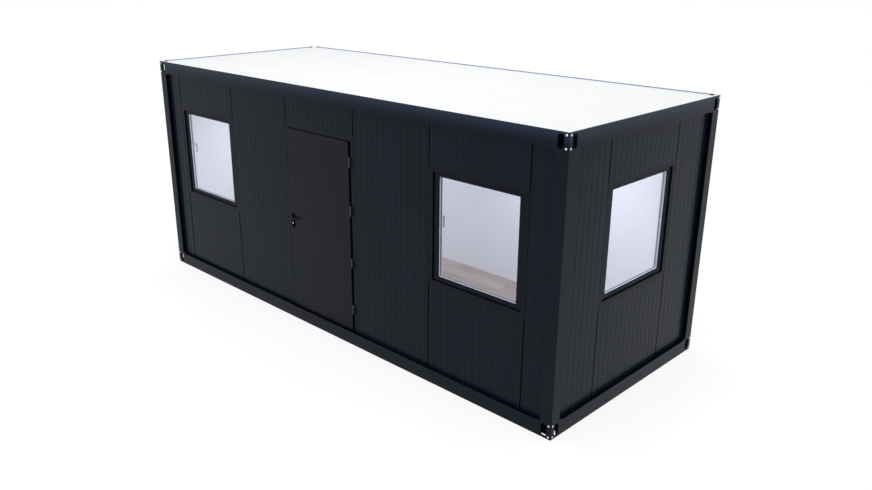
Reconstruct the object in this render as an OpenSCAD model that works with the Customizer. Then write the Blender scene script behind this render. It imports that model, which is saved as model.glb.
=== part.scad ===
// Flat-pack cabin with a steel frame and ribbed sandwich wall panels.
// Millimetres, +Z up, origin under the middle of the base, the door side faces -Y.

/* [Overall] */
// length over the corner fittings
body_l = 6000; // [5900:10:6400]
// width over the corner fittings
body_w = 2400; // [2300:10:2900]
// height over the corner fittings
body_h = 2600; // [2560:10:2900]
// clearance between seated pieces
seat = 0.3; // [0.2:0.05:0.5]

/* [Frame] */
// steel thickness of the folded beams and posts
steel_t = 4; // [3:0.5:6]
// outside radius of the upright corners
fold_r = 6; // [4:0.5:7]
// height of the base beams
base_h = 135; // [130:1:150]
// height of the roof beams
top_h = 140; // [130:1:150]
// part of the roof beam that hangs in front of the walls
roof_lip = 40; // [30:1:50]
// width of the beam shelves that carry the walls
shelf_w = 110; // [106:1:120]
// height of the shelf in the base beams
shelf_z = 84; // [76:1:90]
// face width of the corner posts
post_w = 115; // [108:1:125]
// depth of the post lips
post_lip = 14; // [8:1:20]

/* [Corner fittings] */
// plan size of a fitting
fit_s = 160; // [150:1:170]
// plate thickness of a fitting
fit_t = 8; // [7:0.5:10]
// height of a fitting
fit_h = 148; // [146:1:152]
// width of a lifting slot
slot_w = 60; // [50:1:64]
// height of a lifting slot
slot_h = 116; // [100:1:116]
// slot centre from the vertical edge
slot_in = 77; // [74:1:82]
// bolt centre from the vertical edge
bolt_in = 25; // [22:1:27]
// height between the two bolts of a face
bolt_pitch = 104; // [96:1:108]
// bolt head diameter
bolt_d = 18; // [14:1:20]
// bolt head height
bolt_k = 3; // [2:0.5:4]

/* [Walls] */
// wall face behind the frame face
recess = 40; // [36:1:44]
// wall panel thickness
wall_t = 60; // [56:1:64]
// width of the door bay
door_bay = 1060; // [1040:10:1100]
// widest panel of the plain bays
plain_bay = 1010; // [950:10:1020]
// width of the window bays
window_bay = 1100; // [1050:10:1110]
// width of the strips beside the posts on the long sides
strip_w = 200; // [150:10:240]
// width of the groove between panels
joint_w = 8; // [4:1:12]
// depth of the groove between panels
joint_d = 12; // [8:1:16]
// pitch of the fine ribs in the outer skin
rib_pitch = 78; // [60:1:100]
// width of a rib groove
rib_w = 6; // [3:0.5:8]
// depth of a rib groove
rib_d = 1.2; // [0.6:0.1:2]
// plain margin beside the edge of a panel
rib_edge = 20; // [12:1:40]

/* [Windows] */
// window top below the roof edge
win_z = 510; // [450:5:700]
// height of a window frame
win_h = 1105; // [1000:5:1150]
// face width of a window frame
win_face = 45; // [40:1:55]
// setback of the sash face
sash_set = 15; // [10:1:20]
// side width of a sash
sash_side = 58; // [50:1:66]
// top width of a sash
sash_top = 34; // [30:1:50]
// bottom width of a sash
sash_low = 42; // [36:1:50]
// gap round a sash
sash_gap = 3; // [2:0.5:4]
// sash behind the inner wall face
sash_in = 12; // [8:1:20]
// lap of the sash over the frame inside
sash_lap = 12; // [8:1:20]
// glazing thickness
pane_t = 20; // [16:1:22]
// glazing face behind the sash face
pane_set = 8; // [5:0.5:9]
// glazing edge held in the sash
pane_in = 12; // [8:1:16]
// window grip over the middle of the window
grip_up = 80; // [0:5:120]
// length of a window grip
grip_l = 110; // [100:1:140]
// width of a window grip
grip_w = 16; // [14:1:18]
// thickness of a window grip
grip_t = 12; // [8:1:14]
// neck length of a window grip
grip_neck = 24; // [18:1:30]
// width of the rose under a window grip
rose_w = 26; // [22:1:30]
// height of the rose under a window grip
rose_h = 70; // [60:1:80]
// thickness of the rose under a window grip
rose_t = 10; // [6:1:12]
// rose centre from the glass edge of the sash
rose_in = 21; // [16:1:36]

/* [Door] */
// gap under the leaf
leaf_low = 6; // [6:0.5:10]
// leaf top below the roof edge
leaf_top = 468; // [400:1:560]
// leaf thickness
leaf_t = 45; // [40:1:48]
// leaf face in front of the wall face
leaf_proud = 8; // [6:1:10]
// face width of the left jamb
jamb_l = 30; // [26:1:36]
// face width of the right jamb
jamb_r = 40; // [36:1:44]
// face width of the head
head_w = 42; // [36:1:50]
// gap at the lock edge and the top of the leaf
leaf_gap = 7; // [6:0.5:8]
// gap at the hinge edge of the leaf
hinge_gap = 20; // [20:1:24]
// lap of the stop behind the leaf
stop_w = 10; // [8:1:14]
// gap between the leaf and the stop
stop_gap = 5; // [5:0.5:8]
// knuckle diameter
knuckle_d = 16; // [14:1:16]
// knuckle length of one half
knuckle_h = 48; // [40:1:54]
// hinge axis in front of the leaf face
axis_out = 4; // [3:0.5:5]
// hinge pin diameter
hinge_pin_d = 10; // [8:1:10]
// radial clearance of the hinge pin
pin_clear = 0.08; // [0.05:0.01:0.1]
// pin end below the top of the upper knuckle
pin_end = 6; // [5:0.5:10]
// thickness of the hinge plates
hinge_t = 4; // [3:0.5:5]
// lowest hinge over the leaf bottom
hinge_1 = 241; // [150:1:300]
// second hinge over the leaf bottom
hinge_2 = 749; // [600:1:850]
// third hinge below the leaf top
hinge_3 = 695; // [600:1:800]
// highest hinge below the leaf top
hinge_4 = 204; // [120:1:300]
// gap between the two halves of a hinge
hinge_slack = 1; // [0.5:0.1:2]

/* [Handle] */
// spindle height
lever_z = 1163; // [1000:1:1200]
// spindle from the lock edge of the leaf
backset = 25; // [25:1:40]
// lever length
lever_l = 112; // [100:1:170]
// lever height
lever_w = 16; // [12:1:18]
// lever thickness
lever_t = 9; // [7:1:10]
// lever face in front of the leaf face
lever_out = 30; // [28:1:32]
// neck diameter
neck_d = 18; // [14:1:20]
// clearance round the neck inside the leaf
neck_room = 2; // [1:0.5:3]
// plate thickness
plate_t = 7; // [5:1:8]
// plate width
plate_w = 38; // [28:1:40]
// plate height
plate_h = 155; // [130:1:180]
// plate top over the spindle
plate_up = 44; // [26:1:50]
// lock cylinder below the spindle
cyl_drop = 59; // [50:1:85]
// lock cylinder diameter
cyl_d = 17; // [14:1:20]
// lock cylinder in front of its plate
cyl_out = 3; // [2:0.5:5]

/* [Inside and roof] */
// floor deck thickness
deck_t = 51; // [40:1:51]
// ceiling thickness
ceil_t = 25; // [15:1:30]
// room between the ceiling face and the roof edge
room_h = 175; // [160:1:260]
// number of floor cross members
cross_n = 9; // [5:1:12]
// width of a cross member
cross_w = 60; // [40:1:80]
// roof sheet thickness
sheet_t = 2; // [1.5:0.5:3]
// depth of the roof tray below the roof edge
tray_drop = 12; // [11:1:14]
// width of a roof drain
drain_w = 40; // [20:1:60]
// height of a roof drain
drain_h = 6; // [4:0.5:7]
// drain centre from the roof corner
drain_in = 80; // [60:5:300]

/* [Hidden] */
$fn = 48;
hl = body_l/2;
hw = body_w/2;
wall_in = recess + wall_t;
wall_up = body_h - top_h + roof_lip;
tray_z = body_h - tray_drop;
x_in = hl - wall_in;
y_in = hw - wall_in;
x_end = hl - fit_s;
y_end = hw - fit_s;
x_door = door_bay/2;
x_win = x_end - strip_w;
x_plain = x_win - window_bay;
plain_n = ceil((x_plain - x_door)/plain_bay - 0.001);
plain_w = (x_plain - x_door)/plain_n;
y_bay = window_bay/2;
fit_mid = fit_h/2;
beam_l = body_l - 2*fit_s;
beam_w = body_w - 2*fit_s;
post_h = body_h - 2*fit_h;
deck_z = shelf_z + deck_t;
ceil_z = body_h - room_h;
win_up = body_h - win_z;
win_low = win_up - win_h;
leaf_z = max(base_h, deck_z) + leaf_low;
leaf_up = body_h - leaf_top;
head_up = leaf_up + leaf_gap + head_w;
leaf_y = -hw + recess - leaf_proud;
leaf_back = leaf_y + leaf_t;
leaf_x0 = -x_door + jamb_l + leaf_gap;
leaf_x1 = x_door - jamb_r - hinge_gap;
axis_x = leaf_x1 + hinge_gap/2;
axis_y = leaf_y - axis_out;
stop_y = leaf_back + hw + stop_gap;
jamb_y = recess - hw - axis_y;
lever_x = leaf_x0 + backset;
lever_y = leaf_y - lever_out;
plate_low = lever_z + plate_up - plate_h;
wb = window_bay/2;
wi = wb - win_face;
so = wi - sash_gap;
si = wi - sash_side;
sash_back = wall_in + sash_in;
pane_y = recess + sash_set + pane_set;
grip_x = -si - rose_in;
grip_z = win_low + win_h/2 + grip_up;

// section in (inward, up) drawn along X at the front or along Y at the left, and its mirror image
module long_pair() {
  for (s = [0, 1]) mirror([0, s, 0]) translate([-beam_l/2, -hw, 0]) rotate([90, 0, 90])
    linear_extrude(beam_l) children();
}
module end_pair() {
  for (s = [0, 1]) mirror([s, 0, 0]) translate([-hl, beam_w/2, 0]) rotate([90, 0, 0])
    linear_extrude(beam_w) children();
}
module corner(sx, sy) mirror([sx, 0, 0]) mirror([0, sy, 0]) translate([-hl, -hw, 0]) children();
module four_corners() for (sx = [0, 1], sy = [0, 1]) corner(sx, sy) children();

module base_section() {
  polygon([[0, 0], [shelf_w, 0], [shelf_w, steel_t], [steel_t, steel_t],
    [steel_t, shelf_z - steel_t], [shelf_w, shelf_z - steel_t], [shelf_w, shelf_z],
    [steel_t, shelf_z], [steel_t, base_h], [0, base_h]]);
}
module roof_section() {
  polygon([[0, body_h - top_h], [steel_t, body_h - top_h], [steel_t, wall_up],
    [shelf_w, wall_up], [shelf_w, wall_up + steel_t], [steel_t, wall_up + steel_t],
    [steel_t, tray_z - steel_t], [shelf_w, tray_z - steel_t], [shelf_w, tray_z],
    [steel_t, tray_z], [steel_t, body_h], [0, body_h]]);
}
module base_long_beams() color("#3b4048") long_pair() base_section();
module base_end_beams() color("#3b4048") end_pair() base_section();
module roof_long_beams() color("#3b4048") long_pair() roof_section();
module roof_end_beams() color("#3b4048") end_pair() roof_section();

// what a rounded outer corner leaves of a square one
module corner_waste() difference() {
  translate([-1, -1]) square(fold_r + 1);
  translate([fold_r, fold_r]) circle(fold_r);
}

// folded post: outer angle with lips, a web and an angled tube that both walls butt against
module post_tube(t) {
  polygon([[recess + t, recess + t], [fit_s - t, recess + t], [fit_s - t, wall_in - t],
    [wall_in - t, wall_in - t], [wall_in - t, fit_s - t], [recess + t, fit_s - t]]);
}
module post_section() difference() {
  union() {
    difference() {
      square(post_w);
      translate([steel_t, steel_t]) square(post_w);
    }
    translate([0, post_w - steel_t]) square([post_lip, steel_t]);
    translate([post_w - steel_t, 0]) square([steel_t, post_lip]);
    polygon([[0, 0], [steel_t*1.5, 0], [recess + steel_t*1.5, recess],
      [recess + steel_t*1.5, recess + steel_t*1.5], [recess, recess + steel_t*1.5], [0, steel_t*1.5]]);
    difference() {
      post_tube(0);
      post_tube(steel_t);
    }
  }
  corner_waste();
}
module corner_posts() color("#3b4048") four_corners() translate([0, 0, fit_h])
  linear_extrude(post_h) post_section();

module slot_2d() {
  translate([0, (slot_h - slot_w)/2]) circle(d = slot_w);
  translate([0, (slot_w - slot_h)/2]) circle(d = slot_w);
  square([slot_w, slot_h - slot_w], center = true);
}

// hollow corner box, its hollow from low to top, with a slot in each outward face
module fitting_box(low, top) difference() {
  linear_extrude(fit_h) difference() {
    square(fit_s);
    corner_waste();
  }
  translate([fit_t, fit_t, low]) cube([fit_s - 2*fit_t, fit_s - 2*fit_t, top - low]);
  translate([slot_in, fit_t + 1, fit_mid]) rotate([90, 0, 0]) linear_extrude(fit_t + 2) slot_2d();
  translate([-1, slot_in, fit_mid]) rotate([90, 0, 90]) linear_extrude(fit_t + 2) slot_2d();
}
module base_fitting() fitting_box(-1, fit_h - fit_t);
module roof_fitting() translate([0, 0, body_h - fit_h]) difference() {
  fitting_box(fit_t, fit_h - tray_drop - steel_t);
  translate([steel_t, steel_t, fit_h - tray_drop]) cube([fit_s, fit_s, tray_drop + 1]);
}
module base_front_left_fitting() color("#3b4048") corner(0, 0) base_fitting();
module base_front_right_fitting() color("#3b4048") corner(1, 0) base_fitting();
module base_back_left_fitting() color("#3b4048") corner(0, 1) base_fitting();
module base_back_right_fitting() color("#3b4048") corner(1, 1) base_fitting();
module roof_front_left_fitting() color("#3b4048") corner(0, 0) roof_fitting();
module roof_front_right_fitting() color("#3b4048") corner(1, 0) roof_fitting();
module roof_back_left_fitting() color("#3b4048") corner(0, 1) roof_fitting();
module roof_back_right_fitting() color("#3b4048") corner(1, 1) roof_fitting();

module bolt() cylinder(d = bolt_d, h = bolt_k);
module fitting_bolts() color("#e8e8e4") four_corners() {
  for (z0 = [0, body_h - fit_h], s = [-1, 1]) translate([0, 0, z0 + fit_mid + s*bolt_pitch/2]) {
    translate([bolt_in, -bolt_k, 0]) rotate([-90, 0, 0]) bolt();
    translate([-bolt_k, bolt_in, 0]) rotate([0, 90, 0]) bolt();
  }
}

// floor, ceiling and roof
module fitting_room() {
  for (z0 = [-1, body_h - fit_h - seat]) four_corners() translate([-1, -1, z0])
    cube([fit_s + 1 + seat, fit_s + 1 + seat, fit_h + 1 + seat]);
}
module room_slab(z0, t) difference() {
  translate([seat - x_in, seat - y_in, z0]) cube([2*x_in - 2*seat, 2*y_in - 2*seat, t]);
  fitting_room();
}
module floor_deck() color("#a58f7a") room_slab(shelf_z, deck_t);
module ceiling() color("#f2f2f2") room_slab(ceil_z, ceil_t);
module floor_cross_members() color("#8a8f94") for (i = [1 : cross_n]) {
  translate([-beam_l/2 + i*beam_l/(cross_n + 1) - cross_w/2, shelf_w - hw + seat, steel_t])
    cube([cross_w, body_w - 2*shelf_w - 2*seat, shelf_z - steel_t]);
}
module drain() translate([drain_in - drain_w/2, 0, tray_z + sheet_t])
  cube([drain_w, steel_t + sheet_t + 1, drain_h]);
module roof_tray() color("#f4f5f5") difference() {
  translate([steel_t + seat - hl, steel_t + seat - hw, tray_z])
    cube([body_l - 2*steel_t - 2*seat, body_w - 2*steel_t - 2*seat, tray_drop]);
  translate([steel_t + sheet_t - hl, steel_t + sheet_t - hw, tray_z + sheet_t])
    cube([body_l - 2*steel_t - 2*sheet_t, body_w - 2*steel_t - 2*sheet_t, tray_drop]);
  four_corners() {
    drain();
    mirror([1, -1, 0]) drain();
  }
}

// plan section of a wall panel: half a groove at the stepped sides and fine ribs in the outer skin
function rib_n(w) = floor((w/2 - rib_edge)/rib_pitch);
module panel_section(x0, x1, stepped) difference() {
  translate([x0, recess]) square([x1 - x0, wall_t]);
  for (s = stepped) translate([(s < 0 ? x0 : x1) - joint_w/2, recess - 1]) square([joint_w, joint_d + 1]);
  for (i = [-rib_n(x1 - x0) : rib_n(x1 - x0)]) translate([(x0 + x1)/2 + i*rib_pitch, recess])
    polygon([[-rib_w, -rib_d], [rib_w, -rib_d], [0, rib_d]]);
}
module panel(x0, x1, z0, z1, stepped = [-1, 1]) {
  translate([0, -hw, z0]) linear_extrude(z1 - z0) panel_section(x0, x1, stepped);
}
module full_panel(x0, x1, stepped = [-1, 1]) panel(x0, x1, shelf_z, wall_up, stepped);
// strips beside a post have a plain edge on the post side
module left_strip(x0, x1) full_panel(x0, x1, [1]);
module right_strip(x0, x1) full_panel(x0, x1, [-1]);
module plain_panels(x0) for (i = [0 : plain_n - 1]) full_panel(x0 + i*plain_w, x0 + (i + 1)*plain_w);
module window_panels(x0, x1) {
  panel(x0, x1, shelf_z, win_low);
  panel(x0, x1, win_up, wall_up);
}
module front_left_strip() color("#3a3f47") left_strip(-x_end, -x_win);
module front_left_window_panels() color("#3a3f47") window_panels(-x_win, -x_plain);
module front_left_panel() color("#3a3f47") plain_panels(-x_plain);
module door_head_panel() color("#3a3f47") panel(-x_door, x_door, head_up, wall_up);
module front_right_panel() color("#3a3f47") plain_panels(x_door);
module front_right_window_panels() color("#3a3f47") window_panels(x_plain, x_win);
module front_right_strip() color("#3a3f47") right_strip(x_win, x_end);

// the end walls use the same panels turned to face +X and -X
module to_right() translate([hl - hw, 0, 0]) rotate([0, 0, 90]) children();
module to_left() translate([hw - hl, 0, 0]) rotate([0, 0, -90]) children();
module right_front_strip() color("#3a3f47") to_right() left_strip(-y_end, -y_bay);
module right_window_panels() color("#3a3f47") to_right() window_panels(-y_bay, y_bay);
module right_back_strip() color("#3a3f47") to_right() right_strip(y_bay, y_end);
module left_front_strip() color("#3a3f47") to_left() right_strip(y_bay, y_end);
module left_middle_panel() color("#3a3f47") to_left() full_panel(-y_bay, y_bay);
module left_back_strip() color("#3a3f47") to_left() left_strip(-y_end, -y_bay);

module to_back() rotate([0, 0, 180]) children();
module back_wall_panels() color("#3a3f47") to_back() {
  left_strip(-x_end, -x_win);
  plain_panels(-x_plain);
  plain_panels(x_door);
  right_strip(x_win, x_end);
}
module back_wall_infill_panels() color("#3a3f47") to_back() {
  full_panel(-x_win, -x_plain);
  full_panel(-x_door, x_door);
  full_panel(x_plain, x_win);
}

// window parts in front wall coordinates, centred on x
module at_windows() {
  translate([-(x_win + x_plain)/2, 0, 0]) children();
  translate([(x_win + x_plain)/2, 0, 0]) children();
  to_right() children();
}
module block(x0, x1, y0, y1, z0, z1) translate([x0, y0 - hw, z0]) cube([x1 - x0, y1 - y0, z1 - z0]);
module window_frames() color("#3f4246") at_windows() difference() {
  block(-wb, wb, recess, wall_in, win_low, win_up);
  block(-wi, wi, recess - 1, wall_in + 1, win_low + win_face, win_up - win_face);
}
module pane(c) block(-si - pane_in - c, si + pane_in + c, pane_y - c, pane_y + pane_t + c,
  win_low + win_face + sash_low - pane_in - c, win_up - win_face - sash_top + pane_in + c);
module window_sashes() color("#46494d") at_windows() difference() {
  union() {
    block(-so, so, recess + sash_set, sash_back, win_low + win_face + sash_gap, win_up - win_face - sash_gap);
    block(-wi - sash_lap, wi + sash_lap, wall_in + seat, sash_back,
      win_low + win_face - sash_lap, win_up - win_face + sash_lap);
  }
  block(-si, si, recess, sash_back + 1, win_low + win_face + sash_low, win_up - win_face - sash_top);
  pane(seat);
}
module window_panes() color("#c8d4dc") at_windows() pane(0);
module window_handles() color("#9a9da0") at_windows() {
  block(grip_x - rose_w/2, grip_x + rose_w/2, sash_back + seat, sash_back + rose_t,
    grip_z - rose_h/2, grip_z + rose_h/2);
  block(grip_x - grip_w/2, grip_x + grip_w/2, sash_back + rose_t, sash_back + rose_t + grip_neck,
    grip_z - grip_w/2, grip_z + grip_w/2);
  block(grip_x - grip_w/2, grip_x + grip_w/2, sash_back + rose_t + grip_neck,
    sash_back + rose_t + grip_neck + grip_t, grip_z + grip_w/2 - grip_l, grip_z + grip_w/2);
}

// door frame: jambs, head and sill with a stop behind the leaf
module door_frame() color("#3f4246") difference() {
  block(-x_door, x_door, recess, wall_in, shelf_z, head_up);
  block(-x_door + jamb_l, x_door - jamb_r, recess - 1, stop_y, deck_z, leaf_up + leaf_gap);
  block(leaf_x0 - leaf_gap + stop_w, leaf_x1 - stop_w, recess, wall_in + 1, deck_z, leaf_up - stop_w);
}

module hinge_heights() {
  for (z = [leaf_z + hinge_1, leaf_z + hinge_2, leaf_up - hinge_3, leaf_up - hinge_4])
    translate([axis_x, axis_y, z]) children();
}
// lower knuckle with its pin, held by a plate on the jamb
module door_frame_hinges() color("#8c9094") hinge_heights() translate([0, 0, -knuckle_h]) {
  cylinder(d = knuckle_d, h = knuckle_h);
  cylinder(d = hinge_pin_d, h = 2*knuckle_h - pin_end);
  translate([0, 1 - hinge_t, 0]) cube([hinge_gap/2 + hinge_t, jamb_y + hinge_t - 1 - seat, knuckle_h]);
  translate([hinge_gap/2, jamb_y - hinge_t, 0]) cube([jamb_r - hinge_t*1.5, hinge_t - seat, knuckle_h]);
}
module door_leaf_hinges() color("#8c9094") hinge_heights() translate([0, 0, hinge_slack]) difference() {
  union() {
    cylinder(d = knuckle_d, h = knuckle_h);
    translate([seat - hinge_gap/2, 0, 0]) cube([hinge_t, leaf_t - 2*axis_out, knuckle_h]);
  }
  translate([0, 0, -1]) cylinder(d = hinge_pin_d + 2*pin_clear, h = knuckle_h + 3 - pin_end);
}

// round bore through the leaf or a plate at the spindle or the cylinder
module bore(d, y0, t, z) translate([lever_x, y0 - 1, z]) rotate([-90, 0, 0]) cylinder(d = d, h = t + 2);
module door_leaf() color("#43464a") difference() {
  translate([leaf_x0, leaf_y, leaf_z]) cube([leaf_x1 - leaf_x0, leaf_t, leaf_up - leaf_z]);
  bore(neck_d + 2*neck_room, leaf_y, leaf_t, lever_z);
  bore(cyl_d + 2*seat, leaf_y, leaf_t, lever_z - cyl_drop);
}
module plate(y0) difference() {
  translate([lever_x - plate_w/2, y0, plate_low]) cube([plate_w, plate_t, plate_h]);
  bore(neck_d + 2*pin_clear, y0, plate_t, lever_z);
  bore(cyl_d + 2*seat, y0, plate_t, lever_z - cyl_drop);
}
module handle_plates() color("#26282a") {
  plate(leaf_y - plate_t);
  plate(leaf_back);
}
// outside and inside levers on one spindle
module lever_bar(y0) translate([lever_x - lever_w/2, y0, lever_z]) {
  translate([lever_w/2, 0, 0]) rotate([-90, 0, 0]) cylinder(d = lever_w, h = lever_t);
  translate([lever_w/2, 0, -lever_w/2]) cube([lever_l - lever_w, lever_t, lever_w]);
  translate([lever_l - lever_w/2, 0, 0]) rotate([-90, 0, 0]) cylinder(d = lever_w, h = lever_t);
}
module lever_handle() color("#1f2123") {
  translate([lever_x, lever_y + lever_t, lever_z]) rotate([-90, 0, 0])
    cylinder(d = neck_d, h = leaf_t + 2*lever_out - 2*lever_t);
  lever_bar(lever_y);
  lever_bar(leaf_back + lever_out - lever_t);
}
module lock_cylinder() color("#d8d8d4") translate([lever_x, leaf_y - plate_t - cyl_out, lever_z - cyl_drop])
  rotate([-90, 0, 0]) cylinder(d = cyl_d, h = leaf_t + 2*plate_t + 2*cyl_out);

base_long_beams();
base_end_beams();
roof_long_beams();
roof_end_beams();
corner_posts();
base_front_left_fitting();
base_front_right_fitting();
base_back_left_fitting();
base_back_right_fitting();
roof_front_left_fitting();
roof_front_right_fitting();
roof_back_left_fitting();
roof_back_right_fitting();
fitting_bolts();
floor_deck();
floor_cross_members();
ceiling();
roof_tray();
front_left_strip();
front_left_window_panels();
front_left_panel();
door_head_panel();
front_right_panel();
front_right_window_panels();
front_right_strip();
right_front_strip();
right_window_panels();
right_back_strip();
left_front_strip();
left_middle_panel();
left_back_strip();
back_wall_panels();
back_wall_infill_panels();
window_frames();
window_sashes();
window_panes();
window_handles();
door_frame();
door_frame_hinges();
door_leaf();
door_leaf_hinges();
handle_plates();
lever_handle();
lock_cylinder();
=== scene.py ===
"""Panel cabin on a corner-post frame: finishes, glazing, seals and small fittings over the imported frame."""

import math

import bmesh
import bpy
from bpy.props import FloatProperty, FloatVectorProperty, PointerProperty
from mathutils import Matrix, Vector


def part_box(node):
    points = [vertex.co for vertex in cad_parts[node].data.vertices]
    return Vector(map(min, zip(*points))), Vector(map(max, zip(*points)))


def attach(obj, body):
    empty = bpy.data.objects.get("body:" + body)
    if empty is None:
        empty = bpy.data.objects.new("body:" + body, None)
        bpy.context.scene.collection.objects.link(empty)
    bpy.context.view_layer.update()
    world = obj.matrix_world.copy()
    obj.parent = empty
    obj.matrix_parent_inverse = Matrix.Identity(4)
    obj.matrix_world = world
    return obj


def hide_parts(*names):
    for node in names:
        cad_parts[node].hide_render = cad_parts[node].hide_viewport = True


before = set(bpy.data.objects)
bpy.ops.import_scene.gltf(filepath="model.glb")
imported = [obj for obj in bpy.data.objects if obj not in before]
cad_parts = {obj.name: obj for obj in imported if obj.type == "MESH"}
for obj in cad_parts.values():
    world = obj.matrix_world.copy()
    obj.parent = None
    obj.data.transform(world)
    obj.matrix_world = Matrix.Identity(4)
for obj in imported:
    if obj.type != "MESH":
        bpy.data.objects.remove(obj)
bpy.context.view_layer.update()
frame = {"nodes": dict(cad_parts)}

bl_info = {
    "name": "Panel cabin",
    "version": (1, 0, 0),
    "blender": (4, 5, 0),
    "location": "View3D > Sidebar > Cabin",
    "description": "Finishes and small fittings of a panel cabin on a corner-post frame",
    "category": "Object",
}

NODES = frame["nodes"]
FRAME_LOW, FRAME_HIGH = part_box("corner_posts")
WALL_FACE_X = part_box("right_window_panels")[1].x
WALL_FACE_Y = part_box("back_wall_panels")[1].y
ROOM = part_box("ceiling")[1]
DOOR_LOW, DOOR_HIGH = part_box("door_leaf")
DECK_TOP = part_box("floor_deck")[1].z
TRAY_LOW, TRAY_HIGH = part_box("roof_tray")
BEAM_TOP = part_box("roof_long_beams")[1].z
KNUCKLE_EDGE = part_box("door_leaf_hinges")[1].x
# panels whose upright edges carry the joint seals of their wall
JOINTED = ("front_left_window_panels", "door_head_panel", "front_right_window_panels", "right_window_panels",
           "left_middle_panel", "back_wall_infill_panels")
# a film's thickness, which tells the two sides of a face apart and keeps two faces from meeting
FILM = 0.0002
# the room lining reaches this far into the wall
LINING = 0.002
# the top of the roof sheet, which is 2 mm thick
ROOF_SHEET = TRAY_LOW.z + 0.002
# drains in the rim of the roof tray: place from the corner, half width, and how far the dark patch in front
# of each reaches inwards
DRAIN_IN, DRAIN_HALF, PATCH_IN = 0.076, 0.02, 0.026
# how far a joint seal reaches into its joint, and the black reveal lining, painted shade of the reveal, out
# from its sash
JOINT_DEEP, REVEAL_SHADE_DEEP = 0.003, 0.013
# door frame: face widths of the jambs, the gap from leaf to stop, and the gap over the leaf
JAMB_LEFT, JAMB_RIGHT, STOP_GAP, HEAD_GAP = 0.030, 0.040, 0.005, 0.006
# the door seal ends this far over the deck, and the black strip of painted gap shade stands this far off the
# leaf
SEAL_LIFT, GAP_SHADE_PROUD = 0.002, 0.0008
# half the width of a key slot
KEY_HALF = 0.0011
# rounding of the edges of bars, strips and washers, of gaskets, and of glass and the reveal linings of
# painted shade
STRIP_EDGE, GASKET_EDGE, GLASS_EDGE = 0.0006, 0.001, 0.0005
# steps round a turned part
ROUND_STEPS = 24
# sockets of a map range for the span in which most of one pattern lies, and most of the sum of two
ONE_PATTERN = {1: 0.3, 2: 0.7}
TWO_PATTERNS = {1: 0.7, 2: 1.3}
BLACK, WHITE, FAINT_GREY = (0.0, 0.0, 0.0, 1.0), (1.0, 1.0, 1.0, 1.0), (0.3, 0.3, 0.3, 1.0)
# the two tones between which each plank takes its own, and the tone of the joints
PLANK_TONES = {"Color1": (0.2, 0.2, 0.2, 1.0), "Color2": (0.8, 0.8, 0.8, 1.0), "Mortar": BLACK}
# degrees: faces of one plane, edges that are rounded, and edges that stay sharp to the light
FLAT_ANGLE, SHARP_ANGLE, CREASE_ANGLE = 0.5, 35.0, 40.0
# stage: half size of the floor and its drop below the cabin, places and sizes of the lamps, and the camera
FLOOR_HALF, FLOOR_DROP = 60.0, 0.001
TOP_LAMP_PLACE, TOP_LAMP_SIZE = (0.5, -1.0, 7.5), (9.0, 7.0)
ROOM_LAMPS = (("left_room_lamp", (-1.5, 0.0, 2.25)), ("right_room_lamp", (1.7, 0.0, 2.25)))
ROOM_LAMP_SIZE = (1.3, 0.9)
CAMERA_PLACE = (6.33587, -6.12760, 3.81972)
CAMERA_TILT, CAMERA_HEADING = 70.5608, 45.0249
CAMERA_SHIFT = (0.02427, -0.00349)
SENSOR_WIDTH, CAMERA_FAR = 36.0, 200.0


def linear(code):
    """An sRGB hex colour as linear red, green and blue."""
    parts = [int(code[i:i + 2], 16) / 255 for i in (0, 2, 4)]
    return tuple(v / 12.92 if v <= 0.04045 else ((v + 0.055) / 1.055) ** 2.4 for v in parts)


def colour(name, description, code):
    """A colour that a user would change, given as sRGB hex."""
    return FloatVectorProperty(name=name, description=description, subtype="COLOR", size=3,
                               min=0.0, max=1.0, default=linear(code))


def length(name, description, default):
    """A length that a user would change, in metres."""
    return FloatProperty(name=name, description=description, default=default, min=0.0001,
                         unit="LENGTH", subtype="DISTANCE", precision=4)


class CabinSizes(bpy.types.PropertyGroup):
    """Sizes of the fitted details."""

    joint: length("Joint seal", "Width of the rubber seal between two wall panels", 0.013)
    sheet: length("Glass sheet", "Thickness of each sheet of the double glazing", 0.004)
    bite: length("Glass bite", "How far the glass runs into its sash", 0.012)
    spacer_show: length("Spacer show", "How much of the spacer bar shows beside the sash", 0.004)
    gasket: length("Glazing gasket", "Width of the rubber line round the glass", 0.005)
    gasket_deep: length("Gasket depth", "How far the outer gasket stands off the glass", 0.004)
    bead_deep: length("Bead depth", "How far the room-side gasket stands off the glass", 0.018)
    sash_lap: length("Sash lap", "How far the sash laps its frame on the room side", 0.012)
    # painted shade: a black lining in each sash reveal stands for the shade that falls there
    reveal_shade_lining: length("Reveal seal", "Thickness of the rubber lining of the window reveal", 0.0035)
    door_seal: length("Door seal", "Width of the rubber strip on the door stop", 0.026)
    seal_deep: length("Seal depth", "How far the door seal stands off its stop", 0.0036)
    # painted shade: a black strip on the hinge edge of the leaf stands for the shade in the gap beside the
    # hinges
    gap_shade_strip: length("Edge strip", "Width of the rubber strip on the hinge edge of the leaf", 0.010)
    bolt: length("Bolt head", "Diameter of the washer under a bolt head", 0.018)
    key_slot: length("Key slot", "Height of the key slot in the lock cylinder", 0.009)
    soft_edge: length("Soft edge", "Rounding of the edges of handles, plates and hinges", 0.0012)
    plate: length("Base plate", "Thickness of the plate in the bottom of a base fitting", 0.006)
    plank: length("Plank width", "Width of a plank of the floor covering", 0.19)
    plank_long: length("Plank length", "Length of a plank of the floor covering", 1.3)


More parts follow.
